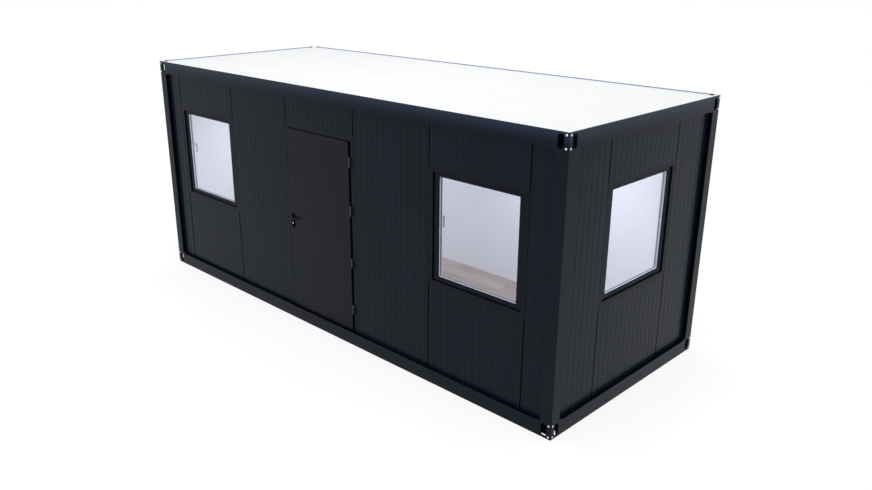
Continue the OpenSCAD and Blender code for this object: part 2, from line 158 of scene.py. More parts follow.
class CabinColours(bpy.types.PropertyGroup):
    """Colours of the finishes."""

    panel: colour("Panel paint", "Outside of the wall panels", "121b26")
    frame: colour("Frame paint", "Beams, posts and corner fittings", "0e1622")
    # painted sheen: a lighter, bluer tone along the top 100 mm of the frame stands for the light that falls
    # there
    painted_top_sheen: colour("Frame bloom", "Chalked paint along the top of the roof beams", "2f3a50")
    trim: colour("Trim paint", "Outside of window and door profiles", "12161d")
    door: colour("Door paint", "Both faces of the door leaf", "0f121a")
    lining: colour("Lining white", "Room side of walls, windows and ceiling", "dbdee7")
    roof: colour("Roof white", "Coated sheet of the roof", "f4f5f6")
    # painted shade: the blue-grey stands for shade on the white inner face of the upstand
    edge: colour("Roof edge", "Upstand round the roof sheet", "8294c0")
    board: colour("Floor light", "Light grain of the floor planks", "988882")
    board_dark: colour("Floor dark", "Dark grain of the floor planks", "736460")
    zinc: colour("Zinc", "Bolts and floor members", "f2f3f4")
    nickel: colour("Nickel", "Lock cylinder", "e4e4e0")
    hinge: colour("Hinge grey", "Paint of the hinges", "4c4e54")
    black: colour("Plate black", "Plates behind the lever, key slots and joint seals", "040405")
    lever: colour("Lever coat", "Both levers", "171a27")
    rubber: colour("Rubber", "Seals, gaskets and the silt at the drains", "080a12")
    plastic: colour("Grip grey", "Window grips", "6a6b72")
    spacer: colour("Spacer grey", "Bars between the sheets of glass", "ccd3ec")
    glass: colour("Glass tint", "Tint of the glazing", "f7f8fb")
    floor: colour("Stage floor", "Floor that the cabin stands on", "e6e6e6")


class CabinStage(bpy.types.PropertyGroup):
    """Light and camera."""

    sky: FloatProperty(name="Sky", description="Light of the sky on the cabin", default=0.72, min=0.0)
    top_lamp: FloatProperty(name="Top lamp", description="Soft lamp over the cabin",
                            default=165.0, min=0.0, unit="POWER")
    room_lamp: FloatProperty(name="Room lamp", description="Soft lamp under the ceiling",
                             default=38.0, min=0.0, unit="POWER")
    lens: FloatProperty(name="Lens", description="Focal length on a sensor 36 mm wide",
                        default=33.593, min=1.0)


def add(tree, kind, sockets=None, **settings):
    """Adds one node with its settings and, for each socket, a fixed value or a link from a node or output."""
    made = tree.nodes.new("ShaderNode" + kind)
    for key, value in settings.items():
        setattr(made, key, value)
    for key, value in (sockets or {}).items():
        if isinstance(value, bpy.types.Node):
            value = next(s for s in value.outputs if s.enabled)
        if isinstance(value, bpy.types.NodeSocket):
            tree.links.new(value, made.inputs[key])
        else:
            made.inputs[key].default_value = value
    return made


def finish(name):
    """A new empty material, its nodes and the piece's own coordinates."""
    made = bpy.data.materials.new(name)
    made.use_nodes = True
    made.node_tree.nodes.clear()
    return made, made.node_tree, add(made.node_tree, "TexCoord").outputs["Object"]


def shade(rgb, by=1.0):
    """A colour made lighter or darker by a factor, with full cover."""
    return (*(min(1.0, v * by) for v in rgb), 1.0)


def beyond(tree, place, half_x, half_y):
    """How far a point lies past the sides of an upright box along x and along y, below 0 within it."""
    axes = add(tree, "SeparateXYZ", {0: place})
    past = []
    for axis, half in (("X", half_x), ("Y", half_y)):
        away = add(tree, "Math", {0: axes.outputs[axis]}, operation="ABSOLUTE")
        past.append(add(tree, "Math", {0: away, 1: half}, operation="SUBTRACT"))
    return past


def reach(tree, place, half_x, half_y):
    """How far a point lies outside an upright box with these half sizes, in metres, below 0 within it."""
    past_x, past_y = beyond(tree, place, half_x, half_y)
    return add(tree, "Math", {0: past_x, 1: past_y}, operation="MAXIMUM")


def lined_steel(name, outside, lining, half_x, half_y, rough, gloss, shade_ribs=False):
    """Coil-coated steel, rolled and cured: satin, faintly streaked outside, matt white in the room."""
    made, tree, place = finish(name)
    # cloudy patches 0.7 m wide, and streaks 40 mm wide that run down the face
    cloud = add(tree, "TexNoise", {"Vector": place, "Scale": 1 / 0.7, "Detail": 4.0})
    run = add(tree, "Mapping", {"Vector": place, "Scale": (1 / 0.04, 1 / 0.04, 1 / 0.9)})
    streak = add(tree, "TexNoise", {"Vector": run, "Scale": 1.0, "Detail": 2.0})
    worn = add(tree, "Math", {0: cloud, 1: streak}, operation="ADD")
    weather = add(tree, "MapRange", {0: worn, **TWO_PATTERNS, 3: 0.0, 4: 1.0})
    tone = add(tree, "Mix", {0: weather, 6: shade(outside, 0.9), 7: shade(outside, 1.12)}, data_type="RGBA")
    if shade_ribs:
        # painted shade, with some dirt, darkens the ribs, which are pressed about 1 mm into the skin; less on
        # the ends
        along = add(tree, "SeparateXYZ", {0: place})
        ends = add(tree, "Math", {0: along.outputs["X"]}, operation="ABSOLUTE")
        held = add(tree, "MapRange", {0: ends, 1: ROOM.x - 0.05, 2: ROOM.x, 3: 1.0, 4: 0.15})
        painted_groove_shade = add(tree, "MapRange", {0: reach(tree, place, WALL_FACE_X, WALL_FACE_Y),
                                      1: -0.0001, 2: -0.0008, 3: 0.0, 4: held})
        tone = add(tree, "Mix", {0: painted_groove_shade, 6: tone, 7: BLACK}, data_type="RGBA")
    white = add(tree, "Mix", {0: cloud, 6: shade(lining, 0.97), 7: shade(lining)}, data_type="RGBA")
    out = add(tree, "Math", {0: reach(tree, place, half_x, half_y), 1: 0.0}, operation="GREATER_THAN")
    skin = add(tree, "Mix", {0: out, 6: white, 7: tone}, data_type="RGBA")
    matt = add(tree, "MapRange", {0: worn, **TWO_PATTERNS, 3: rough - 0.05, 4: rough + 0.05})
    # the embossed grain outside is near 1 mm, drawn at 5 mm so that it shows; the lining is smooth
    emboss = add(tree, "TexNoise", {"Vector": place, "Scale": 1 / 0.005, "Detail": 2.0})
    raised = add(tree, "Math", {0: out, 1: 0.3}, operation="MULTIPLY")
    relief = add(tree, "Bump", {"Height": emboss, "Distance": 0.0002, "Strength": raised})
    shader = add(tree, "BsdfPrincipled", {"Base Color": skin, "Roughness": matt, "Normal": relief,
                                          "Specular IOR Level": gloss})
    add(tree, "OutputMaterial", {"Surface": shader})
    return made


def frame_paint(tones, name, lined):
    """Powder coat on folded steel: satin, with a painted sheen along the roof edge, and scuffed near the
    ground.
    """
    made, tree, place = finish(name)
    height = add(tree, "SeparateXYZ", {0: place}).outputs["Z"]
    # cloudy patches half a metre wide and scuffs 30 mm long
    cloud = add(tree, "TexNoise", {"Vector": place, "Scale": 1 / 0.5, "Detail": 4.0})
    scuff = add(tree, "TexNoise", {"Vector": place, "Scale": 1 / 0.03, "Detail": 4.0})
    patch = add(tree, "MapRange", {0: cloud, **ONE_PATTERN, 3: 0.0, 4: 1.0})
    tone = add(tree, "Mix", {0: patch, 6: shade(tones.frame, 0.9), 7: shade(tones.frame, 1.1)},
               data_type="RGBA")
    # a painted sheen, lighter and bluer, lies along the top 100 mm, and the scuffs are on the lowest 120 mm
    painted_light_band = add(tree, "MapRange", {0: height, 1: BEAM_TOP - 0.1, 2: BEAM_TOP, 3: 0.0, 4: 0.9})
    tone = add(tree, "Mix", {0: painted_light_band, 6: tone, 7: shade(tones.painted_top_sheen)}, data_type="RGBA")
    low = add(tree, "MapRange", {0: height, 1: 0.0, 2: 0.12, 3: 0.5, 4: 0.0})
    rub = add(tree, "MapRange", {0: scuff, 1: 0.5, 2: 0.75, 3: 0.0, 4: low})
    tone = add(tree, "Mix", {0: rub, 6: tone, 7: shade(tones.frame, 1.5)}, data_type="RGBA")
    if lined:
        # what stands in the room above the deck is white
        under = add(tree, "Math", {0: DECK_TOP, 1: height}, operation="SUBTRACT")
        past = add(tree, "Math", {0: reach(tree, place, ROOM.x + LINING, ROOM.y + LINING), 1: under},
                   operation="MAXIMUM")
        out = add(tree, "Math", {0: past, 1: 0.0}, operation="GREATER_THAN")
        tone = add(tree, "Mix", {0: out, 6: shade(tones.lining), 7: tone}, data_type="RGBA")
    matt = add(tree, "MapRange", {0: cloud, **ONE_PATTERN, 3: 0.3, 4: 0.38})
    # orange peel is near 2 mm, drawn at 6 mm so that it shows
    peel = add(tree, "TexNoise", {"Vector": place, "Scale": 1 / 0.006, "Detail": 2.0})
    relief = add(tree, "Bump", {"Height": peel, "Distance": 0.00025, "Strength": 0.4})
    shader = add(tree, "BsdfPrincipled", {"Base Color": tone, "Roughness": matt, "Normal": relief,
                                          "Specular IOR Level": 0.09})
    add(tree, "OutputMaterial", {"Surface": shader})
    return made


def door_paint(tones):
    """Stove enamel rolled on a flat steel door: even and satin, with the faint pull of the roller."""
    made, tree, place = finish("stove_enamel_on_flat_steel")
    # cloudy patches 0.45 m wide
    cloud = add(tree, "TexNoise", {"Vector": place, "Scale": 1 / 0.45, "Detail": 4.0})
    patch = add(tree, "MapRange", {0: cloud, **ONE_PATTERN, 3: 0.0, 4: 1.0})
    tone = add(tree, "Mix", {0: patch, 6: shade(tones.door, 0.94), 7: shade(tones.door, 1.06)},
               data_type="RGBA")
    matt = add(tree, "MapRange", {0: cloud, **ONE_PATTERN, 3: 0.36, 4: 0.44})
    # the pull of the roller is 8 mm wide and runs up the leaf
    run = add(tree, "Mapping", {"Vector": place, "Scale": (1 / 0.008, 1 / 0.008, 1 / 0.32)})
    pull = add(tree, "TexNoise", {"Vector": run, "Scale": 1.0, "Detail": 2.0})
    relief = add(tree, "Bump", {"Height": pull, "Distance": 0.0001, "Strength": 0.3})
    shader = add(tree, "BsdfPrincipled", {"Base Color": tone, "Roughness": matt, "Normal": relief,
                                          "Specular IOR Level": 0.1})
    add(tree, "OutputMaterial", {"Surface": shader})
    return made


def hinge_paint(tones):
    """Satin paint on a steel hinge: an even grey that ends where the jamb's own paint covers the plate,
    darkened there as painted shade of the gap.
    """
    made, tree, place = finish("satin_hinge_paint")
    across = add(tree, "SeparateXYZ", {0: place}).outputs["X"]
    jamb = add(tree, "MapRange", {0: across, 1: KNUCKLE_EDGE, 2: KNUCKLE_EDGE + 0.001, 3: 0.0, 4: 1.0})
    # handling marks about 20 mm wide
    marks = add(tree, "TexNoise", {"Vector": place, "Scale": 1 / 0.02, "Detail": 3.0})
    grey = add(tree, "Mix", {0: marks, 6: shade(tones.hinge, 0.9), 7: shade(tones.hinge, 1.1)},
               data_type="RGBA")
    # the plate takes the trim paint at 0.7 of its tone, the darkening being painted shade of the gap beside
    # the leaf
    tone = add(tree, "Mix", {0: jamb, 6: grey, 7: shade(tones.trim, 0.7)}, data_type="RGBA")
    matt = add(tree, "MapRange", {0: marks, **ONE_PATTERN, 3: 0.42, 4: 0.5})
    shader = add(tree, "BsdfPrincipled", {"Base Color": tone, "Roughness": matt, "Specular IOR Level": 0.08})
    add(tree, "OutputMaterial", {"Surface": shader})
    return made


def roof_sheet(tones):
    """White coated roof sheet, rolled: matt, with faint grey dust that gathers in patches, and painted shade
    on its upstand.
    """
    made, tree, place = finish("white_coated_roof_sheet")
    height = add(tree, "SeparateXYZ", {0: place}).outputs["Z"]
    # dust gathers in patches 0.35 m wide
    dust = add(tree, "TexNoise", {"Vector": place, "Scale": 1 / 0.35, "Detail": 5.0})
    grey = add(tree, "MapRange", {0: dust, 1: 0.45, 2: 0.8, 3: 0.0, 4: 1.0})
    tone = add(tree, "Mix", {0: grey, 6: shade(tones.roof), 7: shade(tones.roof, 0.97)}, data_type="RGBA")
    painted_light_band = add(tree, "MapRange", {0: height, 1: ROOF_SHEET + FILM, 2: ROOF_SHEET + 6 * FILM, 3: 0.0, 4: 1.0})
    # the rim takes a blue-grey painted shade but stays white at each corner between its two drains, and a
    # near-black patch lies in front of each drain
    sides = beyond(tree, place, TRAY_HIGH.x, TRAY_HIGH.y)
    nearer = add(tree, "Math", {0: sides[0], 1: sides[1]}, operation="MINIMUM")
    clear = add(tree, "Math", {0: nearer, 1: DRAIN_HALF - DRAIN_IN}, operation="LESS_THAN")
    rim = add(tree, "Math", {0: painted_light_band, 1: clear}, operation="MULTIPLY")
    tone = add(tree, "Mix", {0: rim, 6: tone, 7: shade(tones.edge)}, data_type="RGBA")
    for along, across in (sides, sides[::-1]):
        beside = add(tree, "Math", {0: along, 1: -DRAIN_IN, 2: DRAIN_HALF}, operation="COMPARE")
        close = add(tree, "Math", {0: across, 1: -PATCH_IN}, operation="GREATER_THAN")
        dark_patch = add(tree, "Math", {0: beside, 1: close}, operation="MULTIPLY")
        tone = add(tree, "Mix", {0: dark_patch, 6: tone, 7: shade(tones.rubber)}, data_type="RGBA")
    matt = add(tree, "MapRange", {0: dust, **ONE_PATTERN, 3: 0.5, 4: 0.62})
    # the coat's grain is near 1 mm, drawn at 6 mm so that it shows
    emboss = add(tree, "TexNoise", {"Vector": place, "Scale": 1 / 0.006, "Detail": 2.0})
    relief = add(tree, "Bump", {"Height": emboss, "Distance": 0.0002, "Strength": 0.3})
    shader = add(tree, "BsdfPrincipled", {"Base Color": tone, "Roughness": matt, "Normal": relief,
                                          "Specular IOR Level": 0.2})
    add(tree, "OutputMaterial", {"Surface": shader})
    return made


def ceiling_sheet(tones):
    """White lining sheet, rolled on: matt, with a soft stipple and no gloss."""
    made, tree, place = finish("matt_white_lining_sheet")
    # cloudy patches 0.4 m wide
    cloud = add(tree, "TexNoise", {"Vector": place, "Scale": 1 / 0.4, "Detail": 3.0})
    tone = add(tree, "Mix", {0: cloud, 6: shade(tones.lining), 7: shade(tones.lining, 1.05)},
               data_type="RGBA")
    matt = add(tree, "MapRange", {0: cloud, **ONE_PATTERN, 3: 0.6, 4: 0.7})
    # roller stipple 4 mm wide
    stipple = add(tree, "TexNoise", {"Vector": place, "Scale": 1 / 0.004, "Detail": 2.0})
    relief = add(tree, "Bump", {"Height": stipple, "Distance": 0.0002, "Strength": 0.3})
    shader = add(tree, "BsdfPrincipled", {"Base Color": tone, "Roughness": matt, "Normal": relief,
                                          "Specular IOR Level": 0.2})
    add(tree, "OutputMaterial", {"Surface": shader})
    return made


def plank_vinyl(tones, sizes):
    """Wood-look vinyl planks: printed grain along the cabin, thin dark joints, a soft sheen."""
    made, tree, place = finish("wood_look_vinyl_planks")
    # joints 1.5 mm wide, and a tone of its own for each plank
    rows = add(tree, "TexBrick", {"Vector": place, **PLANK_TONES, "Scale": 1.0, "Mortar Size": 0.0015,
                                  "Mortar Smooth": 0.2, "Brick Width": sizes.plank_long,
                                  "Row Height": sizes.plank}, offset=0.37)
    # fibres near 5 mm wide, drawn 25 mm wide and 0.4 m long so that they show, in bands 0.25 m wide
    run = add(tree, "Mapping", {"Vector": place, "Scale": (1 / 0.4, 1 / 0.025, 1 / 0.025)})
    fibre = add(tree, "TexNoise", {"Vector": run, "Scale": 1.0, "Detail": 6.0})
    band = add(tree, "Mapping", {"Vector": place, "Scale": (1 / 0.75, 1 / 0.25, 1 / 0.25)})
    cloud = add(tree, "TexNoise", {"Vector": band, "Scale": 1.0, "Detail": 4.0})
    pick = add(tree, "Math", {0: fibre, 1: rows}, operation="ADD")
    pick = add(tree, "Math", {0: pick, 1: cloud}, operation="ADD")
    figure = add(tree, "MapRange", {0: pick, 1: 1.1, 2: 1.9, 3: 0.0, 4: 1.0})
    wood = add(tree, "Mix", {0: figure, 6: shade(tones.board_dark), 7: shade(tones.board)}, data_type="RGBA")
    tone = add(tree, "Mix", {0: rows.outputs["Fac"], 6: wood, 7: shade(tones.board_dark, 0.45)},
               data_type="RGBA")
    matt = add(tree, "MapRange", {0: fibre, **ONE_PATTERN, 3: 0.38, 4: 0.52})
    flat = add(tree, "Math", {0: 1.0, 1: rows.outputs["Fac"]}, operation="SUBTRACT")
    relief = add(tree, "Bump", {"Height": flat, "Distance": 0.0008, "Strength": 0.6})
    shader = add(tree, "BsdfPrincipled", {"Base Color": tone, "Roughness": matt, "Normal": relief,
                                          "Specular IOR Level": 0.15})
    add(tree, "OutputMaterial", {"Surface": shader})
    return made


def zinc_coat(name, tone, rough, size):
    """Plated or zinc coated steel: pale, with the spangle of the coat in cells size metres wide."""
    made, tree, place = finish(name)
    cells = add(tree, "TexVoronoi", {"Vector": place, "Scale": 1 / size})
    spangle = add(tree, "SeparateColor", {0: cells.outputs["Color"]})
    pale = add(tree, "Mix", {0: spangle, 6: shade(tone, 0.85), 7: shade(tone)}, data_type="RGBA")
    matt = add(tree, "MapRange", {0: spangle, 1: 0.0, 2: 1.0, 3: rough - 0.06, 4: rough + 0.08})
    shader = add(tree, "BsdfPrincipled", {"Base Color": pale, "Roughness": matt, "Metallic": 1.0})
    add(tree, "OutputMaterial", {"Surface": shader})
    return made


def moulded(name, tone, rough, gloss, size):
    """Moulded plastic, rubber or a sprayed coat on a small part: even, with a grain size metres wide."""
    made, tree, place = finish(name)
    cloud = add(tree, "TexNoise", {"Vector": place, "Scale": 1 / (12 * size), "Detail": 3.0})
    even = add(tree, "Mix", {0: cloud, 6: shade(tone, 0.9), 7: shade(tone, 1.1)}, data_type="RGBA")
    matt = add(tree, "MapRange", {0: cloud, **ONE_PATTERN, 3: rough - 0.05, 4: rough + 0.05})
    skin = add(tree, "TexNoise", {"Vector": place, "Scale": 1 / size, "Detail": 2.0})
    relief = add(tree, "Bump", {"Height": skin, "Distance": size / 20, "Strength": 0.4})
    shader = add(tree, "BsdfPrincipled", {"Base Color": even, "Roughness": matt, "Normal": relief,
                                          "Specular IOR Level": gloss})
    add(tree, "OutputMaterial", {"Surface": shader})
    return made


def clear_glass(tones):
    """Float glass: clear, faintly cool, and lets the lamps through to the room."""
    made, tree, place = finish("clear_float_glass")
    # the slow draw of the float bath is wider than a hand, so it is left that wide
    wave = add(tree, "TexNoise", {"Vector": place, "Scale": 1 / 0.3, "Detail": 1.0})
    tone = add(tree, "Mix", {0: wave, 6: shade(tones.glass), 7: shade(tones.glass, 1.03)}, data_type="RGBA")
    shader = add(tree, "BsdfPrincipled", {"Base Color": tone, "Roughness": 0.0, "IOR": 1.45,
                                          "Transmission Weight": 1.0})
    rays = add(tree, "LightPath")
    through = add(tree, "Math", {0: rays.outputs["Is Shadow Ray"], 1: rays.outputs["Is Diffuse Ray"]},
                  operation="MAXIMUM")
    thin = add(tree, "BsdfTransparent", {"Color": shade(tones.glass)})
    both = add(tree, "MixShader", {0: through, 1: shader, 2: thin})
    add(tree, "OutputMaterial", {"Surface": both})
    return made


def dress(finished, *names):
    """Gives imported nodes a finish."""
    for name in names:
        if name not in NODES:
            raise RuntimeError("no packed node is called " + name)
        data = NODES[name].data
        data.materials.clear()
        data.materials.append(finished)


def merged(node):
    """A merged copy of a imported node's mesh."""
    mesh = bmesh.new()
    mesh.from_mesh(NODES[node].data)
    bmesh.ops.remove_doubles(mesh, verts=mesh.verts, dist=1e-5)
    return mesh


def linked(start):
    """All the vertices that edges join to the given ones."""
    found, open_ends = set(start), list(start)
    while open_ends:
        point = open_ends.pop()
        for edge in point.link_edges:
            other = edge.other_vert(point)
            if other not in found:
                found.add(other)
                open_ends.append(other)
    return found


def solids(node):
    """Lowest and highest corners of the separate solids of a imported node, in a fixed order."""
    mesh = merged(node)
    left, boxes = set(mesh.verts), []
    while left:
        part = linked([next(iter(left))])
        left -= part
        low = Vector([min(v.co[i] for v in part) for i in range(3)])
        high = Vector([max(v.co[i] for v in part) for i in range(3)])
        boxes.append((low, high))
    mesh.free()
    return sorted(boxes, key=lambda b: [round(v, 3) for v in b[0]])


def settle(mesh, name, finished, body, stands_for=(), smooth=None):
    """Turns a bmesh into a named piece that rides on its body."""
    bmesh.ops.recalc_face_normals(mesh, faces=mesh.faces)
    data = bpy.data.meshes.new(name)
    mesh.to_mesh(data)
    mesh.free()
    data.materials.append(finished)
    if smooth is not None:
        data.shade_smooth()
        data.set_sharp_from_angle(angle=math.radians(smooth))
    piece = bpy.data.objects.new(name, data)
    bpy.context.scene.collection.objects.link(piece)
    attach(piece, body)
    if stands_for:
        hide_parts(*stands_for)


def soften(node, name, finished, body, width):
    """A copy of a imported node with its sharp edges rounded, which stands for it."""
    mesh = merged(node)
    bmesh.ops.dissolve_limit(mesh, angle_limit=math.radians(FLAT_ANGLE), verts=mesh.verts, edges=mesh.edges)
    bend = math.radians(SHARP_ANGLE)
    sharp = [e for e in mesh.edges if len(e.link_faces) == 2 and e.calc_face_angle(0.0) > bend]
    bmesh.ops.bevel(mesh, geom=sharp, offset=width, offset_type="OFFSET", affect="EDGES", segments=2,
                    profile=0.5, material=-1, clamp_overlap=True)
    settle(mesh, name, finished, body, (node,), CREASE_ANGLE)


def slab(mesh, low, high, edge, place=Matrix.Identity(4), segments=2):
    """A box with rounded edges between two corners."""
    middle, size = (low + high) / 2, high - low
    fit = Matrix.Translation(middle) @ Matrix.Diagonal((*size, 1.0))
    made = bmesh.ops.create_cube(mesh, size=1.0, matrix=fit)
    corners = set(made["verts"])
    edges = [e for e in mesh.edges if e.verts[0] in corners]
    made = bmesh.ops.bevel(mesh, geom=edges, offset=edge, offset_type="OFFSET", affect="EDGES",
                           segments=segments, profile=0.5, material=-1, clamp_overlap=True)
    bmesh.ops.transform(mesh, matrix=place, verts=made["verts"])


def ring(mesh, low, high, width, place=Matrix.Identity(4), edge=STRIP_EDGE):
    """A rectangular ring that stands upright across x and z, with its sides width wide."""
    flat = Matrix.Translation(((low.x + high.x) / 2, low.y, (low.z + high.z) / 2)) @ Matrix.Rotation(
        math.radians(90), 4, "X") @ Matrix.Diagonal(((high.x - low.x) / 2, (high.z - low.z) / 2, 1.0, 1.0))
    grid = bmesh.ops.create_grid(mesh, x_segments=1, y_segments=1, size=1.0, matrix=flat)
    face = grid["verts"][0].link_faces[0]
    rim = bmesh.ops.inset_region(mesh, faces=[face], thickness=width, use_boundary=True,
                                 use_even_offset=True)["faces"]
    bmesh.ops.delete(mesh, geom=[face], context="FACES")
    back = bmesh.ops.extrude_face_region(mesh, geom=rim, use_keep_orig=True)["geom"]
    points = [v for v in back if isinstance(v, bmesh.types.BMVert)]
    bmesh.ops.translate(mesh, vec=(0, high.y - low.y, 0), verts=points)
    whole = linked(points)
    bend = math.radians(SHARP_ANGLE)
    sharp = [e for e in mesh.edges if e.verts[0] in whole and e.calc_face_angle(0.0) > bend]
    made = bmesh.ops.bevel(mesh, geom=sharp, offset=edge, offset_type="OFFSET", affect="EDGES", segments=1,
                           profile=0.5, material=-1, clamp_overlap=True)
    bmesh.ops.transform(mesh, matrix=place, verts=list(linked(made["verts"])))


def base_plate(mesh, corner, inner, thick):
    """The plate in the bottom of a base fitting, with a slotted hole along each outward face."""
    # distances from the outer corner: the fitting's walls, and between them the two holes
    across = (0.0085, 0.028, 0.048, 0.064, 0.124, 0.1515)
    along = (0.0085, 0.026, 0.049, 0.095, 0.148, 0.1515)
    holes = ((1, 3), (3, 1))
    # the hole along the end face runs aslant
    aslant = {(1, 3): (0.017, 0.095), (2, 3): (0.030, 0.088), (1, 4): (0.058, 0.148), (2, 4): (0.072, 0.148),
              (3, 4): (0.090, 0.148)}
    side = [math.copysign(1, inner[i] - corner[i]) for i in (0, 1)]
    cells = len(across) - 1
    grid = bmesh.ops.create_grid(mesh, x_segments=cells, y_segments=cells, size=cells / 2)["verts"]
    at = {v: (round(v.co.x + cells / 2), round(v.co.y + cells / 2)) for v in grid}
    faces = {tuple(min(at[v][i] for v in f.verts) for i in (0, 1)): f for v in grid for f in v.link_faces}
    bmesh.ops.delete(mesh, geom=[faces.pop(h) for h in holes], context="FACES")
    for point, (i, j) in at.items():
        x, y = aslant.get((i, j), (across[i], along[j]))
        point.co = (corner.x + side[0] * x, corner.y + side[1] * y, thick)
    under = bmesh.ops.extrude_face_region(mesh, geom=list(faces.values()), use_keep_orig=True)["geom"]
    bmesh.ops.translate(mesh, vec=(0, 0, FILM - thick),
                        verts=[v for v in under if isinstance(v, bmesh.types.BMVert)])


def turned(mesh, profile, place):
    """A round part: a profile of (radius, height) points spun about its own axis, from axis to axis."""
    points = [mesh.verts.new((r, 0, h)) for r, h in profile]
    edges = [mesh.edges.new(pair) for pair in zip(points, points[1:])]
    bmesh.ops.spin(mesh, geom=points + edges, cent=(0, 0, 0), axis=(0, 0, 1), angle=math.tau,
                   steps=ROUND_STEPS, use_merge=True)
    whole = linked([v for v in points if v.is_valid])
    bmesh.ops.remove_doubles(mesh, verts=list(whole), dist=1e-6)
    bmesh.ops.transform(mesh, matrix=place, verts=[v for v in whole if v.is_valid])


def wall_place(low, high):
    """Where a part drawn for the front wall goes, x across and y inwards, its half width and its depth."""
    middle = (low + high) / 2
    if high.y - low.y < high.x - low.x:
        return Matrix.Translation((middle.x, FRAME_LOW.y, 0)), (high.x - low.x) / 2, low.y - FRAME_LOW.y
    return (Matrix.Translation((FRAME_HIGH.x, middle.y, 0)) @ Matrix.Rotation(math.radians(90), 4, "Z"),
            (high.y - low.y) / 2, FRAME_HIGH.x - high.x)


class CABIN_OT_frame(bpy.types.Operator):
    """Paints the beams, posts and corner fittings, and closes the bottom of the base fittings."""

    bl_idname = "cabin.frame"
    bl_label = "Frame"

    def execute(self, context):
        tones = context.scene.cabin_colours
        paint = frame_paint(tones, "powder_coat_on_folded_steel", False)
        fittings = [n for n in NODES if n.endswith("_fitting")]
        feet = [n for n in fittings if n.startswith("base_")]
        heads = [n for n in fittings if n not in feet]
        dress(paint, "base_long_beams", "base_end_beams", "roof_long_beams", "roof_end_beams", *heads)
        dress(frame_paint(tones, "powder_coat_lined_in_the_room", True), "corner_posts", *feet)
        plates = bmesh.new()
        for node in feet:
            low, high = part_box(node)
            corner = Vector([max(high[i], low[i], key=abs) for i in range(3)])
            inner = Vector([min(high[i], low[i], key=abs) for i in range(3)])
            base_plate(plates, corner, inner, context.scene.cabin_sizes.plate)
        settle(plates, "fitting_base_plates", paint, "cabin")
        return {"FINISHED"}


class CABIN_OT_bolts(bpy.types.Operator):
    """Sets a domed bolt on its washer at each bolt of the corner fittings."""

    bl_idname = "cabin.bolts"
    bl_label = "Fitting bolts"

    def execute(self, context):
        mesh = bmesh.new()
        half = context.scene.cabin_sizes.bolt / 2
        for low, high in solids("fitting_bolts"):
            size, middle = high - low, (low + high) / 2
            axis = min(range(3), key=lambda i: size[i])
            out = Vector([math.copysign(1, middle[i]) if i == axis else 0.0 for i in range(3)])
            tall = size[axis]
            foot = middle - out * tall / 2
            place = Matrix.Translation(foot) @ out.to_track_quat("Z", "Y").to_matrix().to_4x4()
            # a washer with a bevelled rim, and a low dome on it
            rim = tall * 0.35
            turned(mesh, [(0, 0), (half, 0), (half, rim * 0.7), (half - STRIP_EDGE, rim), (half * 0.72, rim),
                          (half * 0.70, tall * 0.62), (half * 0.55, tall * 0.88), (half * 0.3, tall * 0.98),
                          (0, tall)], place)
        zinc = zinc_coat("pale_zinc_flake", context.scene.cabin_colours.zinc, rough=0.22, size=0.004)
        settle(mesh, "bolt_heads", zinc, "cabin", ("fitting_bolts",), SHARP_ANGLE)
        return {"FINISHED"}


class CABIN_OT_walls(bpy.types.Operator):
    """Paints the wall panels dark outside and white in the room, and seals their joints."""

    bl_idname = "cabin.walls"
    bl_label = "Wall panels"

    def execute(self, context):
        tones = context.scene.cabin_colours
        paint = lined_steel("coil_coated_panel_steel", tones.panel, tones.lining, ROOM.x + LINING,
                            ROOM.y + LINING, rough=0.28, gloss=0.078, shade_ribs=True)
        dress(paint, *(n for n in NODES if n.endswith(("_panel", "_panels", "_strip"))))
        rubber = moulded("black_joint_rubber", tones.black, rough=0.8, gloss=0.01, size=0.002)
        half = context.scene.cabin_sizes.joint / 2
        seals = bmesh.new()
        for node in JOINTED:
            for low, high in solids(node):
                along = 0 if high.x - low.x > high.y - low.y else 1
                face = max(low[1 - along], high[1 - along], key=abs)
                out = math.copysign(1, face)
                for at in (low[along], high[along]):
                    first, last = Vector(low), Vector(high)
                    first[along], last[along] = at - half, at + half
                    depth = (face + out * 2 * FILM, face - out * JOINT_DEEP)
                    first[1 - along], last[1 - along] = sorted(depth)
                    slab(seals, first, last, FILM)
        settle(seals, "panel_joint_seals", rubber, "cabin")
        return {"FINISHED"}


class CABIN_OT_roof(bpy.types.Operator):
    """Coats the roof sheet and the ceiling."""

    bl_idname = "cabin.roof"
    bl_label = "Roof and ceiling"

    def execute(self, context):
        dress(roof_sheet(context.scene.cabin_colours), "roof_tray")
        dress(ceiling_sheet(context.scene.cabin_colours), "ceiling")
        return {"FINISHED"}


class CABIN_OT_floor(bpy.types.Operator):
    """Lays the plank floor and coats the members under it."""

    bl_idname = "cabin.floor"
    bl_label = "Floor"

    def execute(self, context):
        tones = context.scene.cabin_colours
        dress(plank_vinyl(tones, context.scene.cabin_sizes), "floor_deck")
        dull = shade(tones.zinc, 0.45)[:3]
        dress(zinc_coat("hot_dip_zinc", dull, rough=0.45, size=0.02), "floor_cross_members")
        return {"FINISHED"}


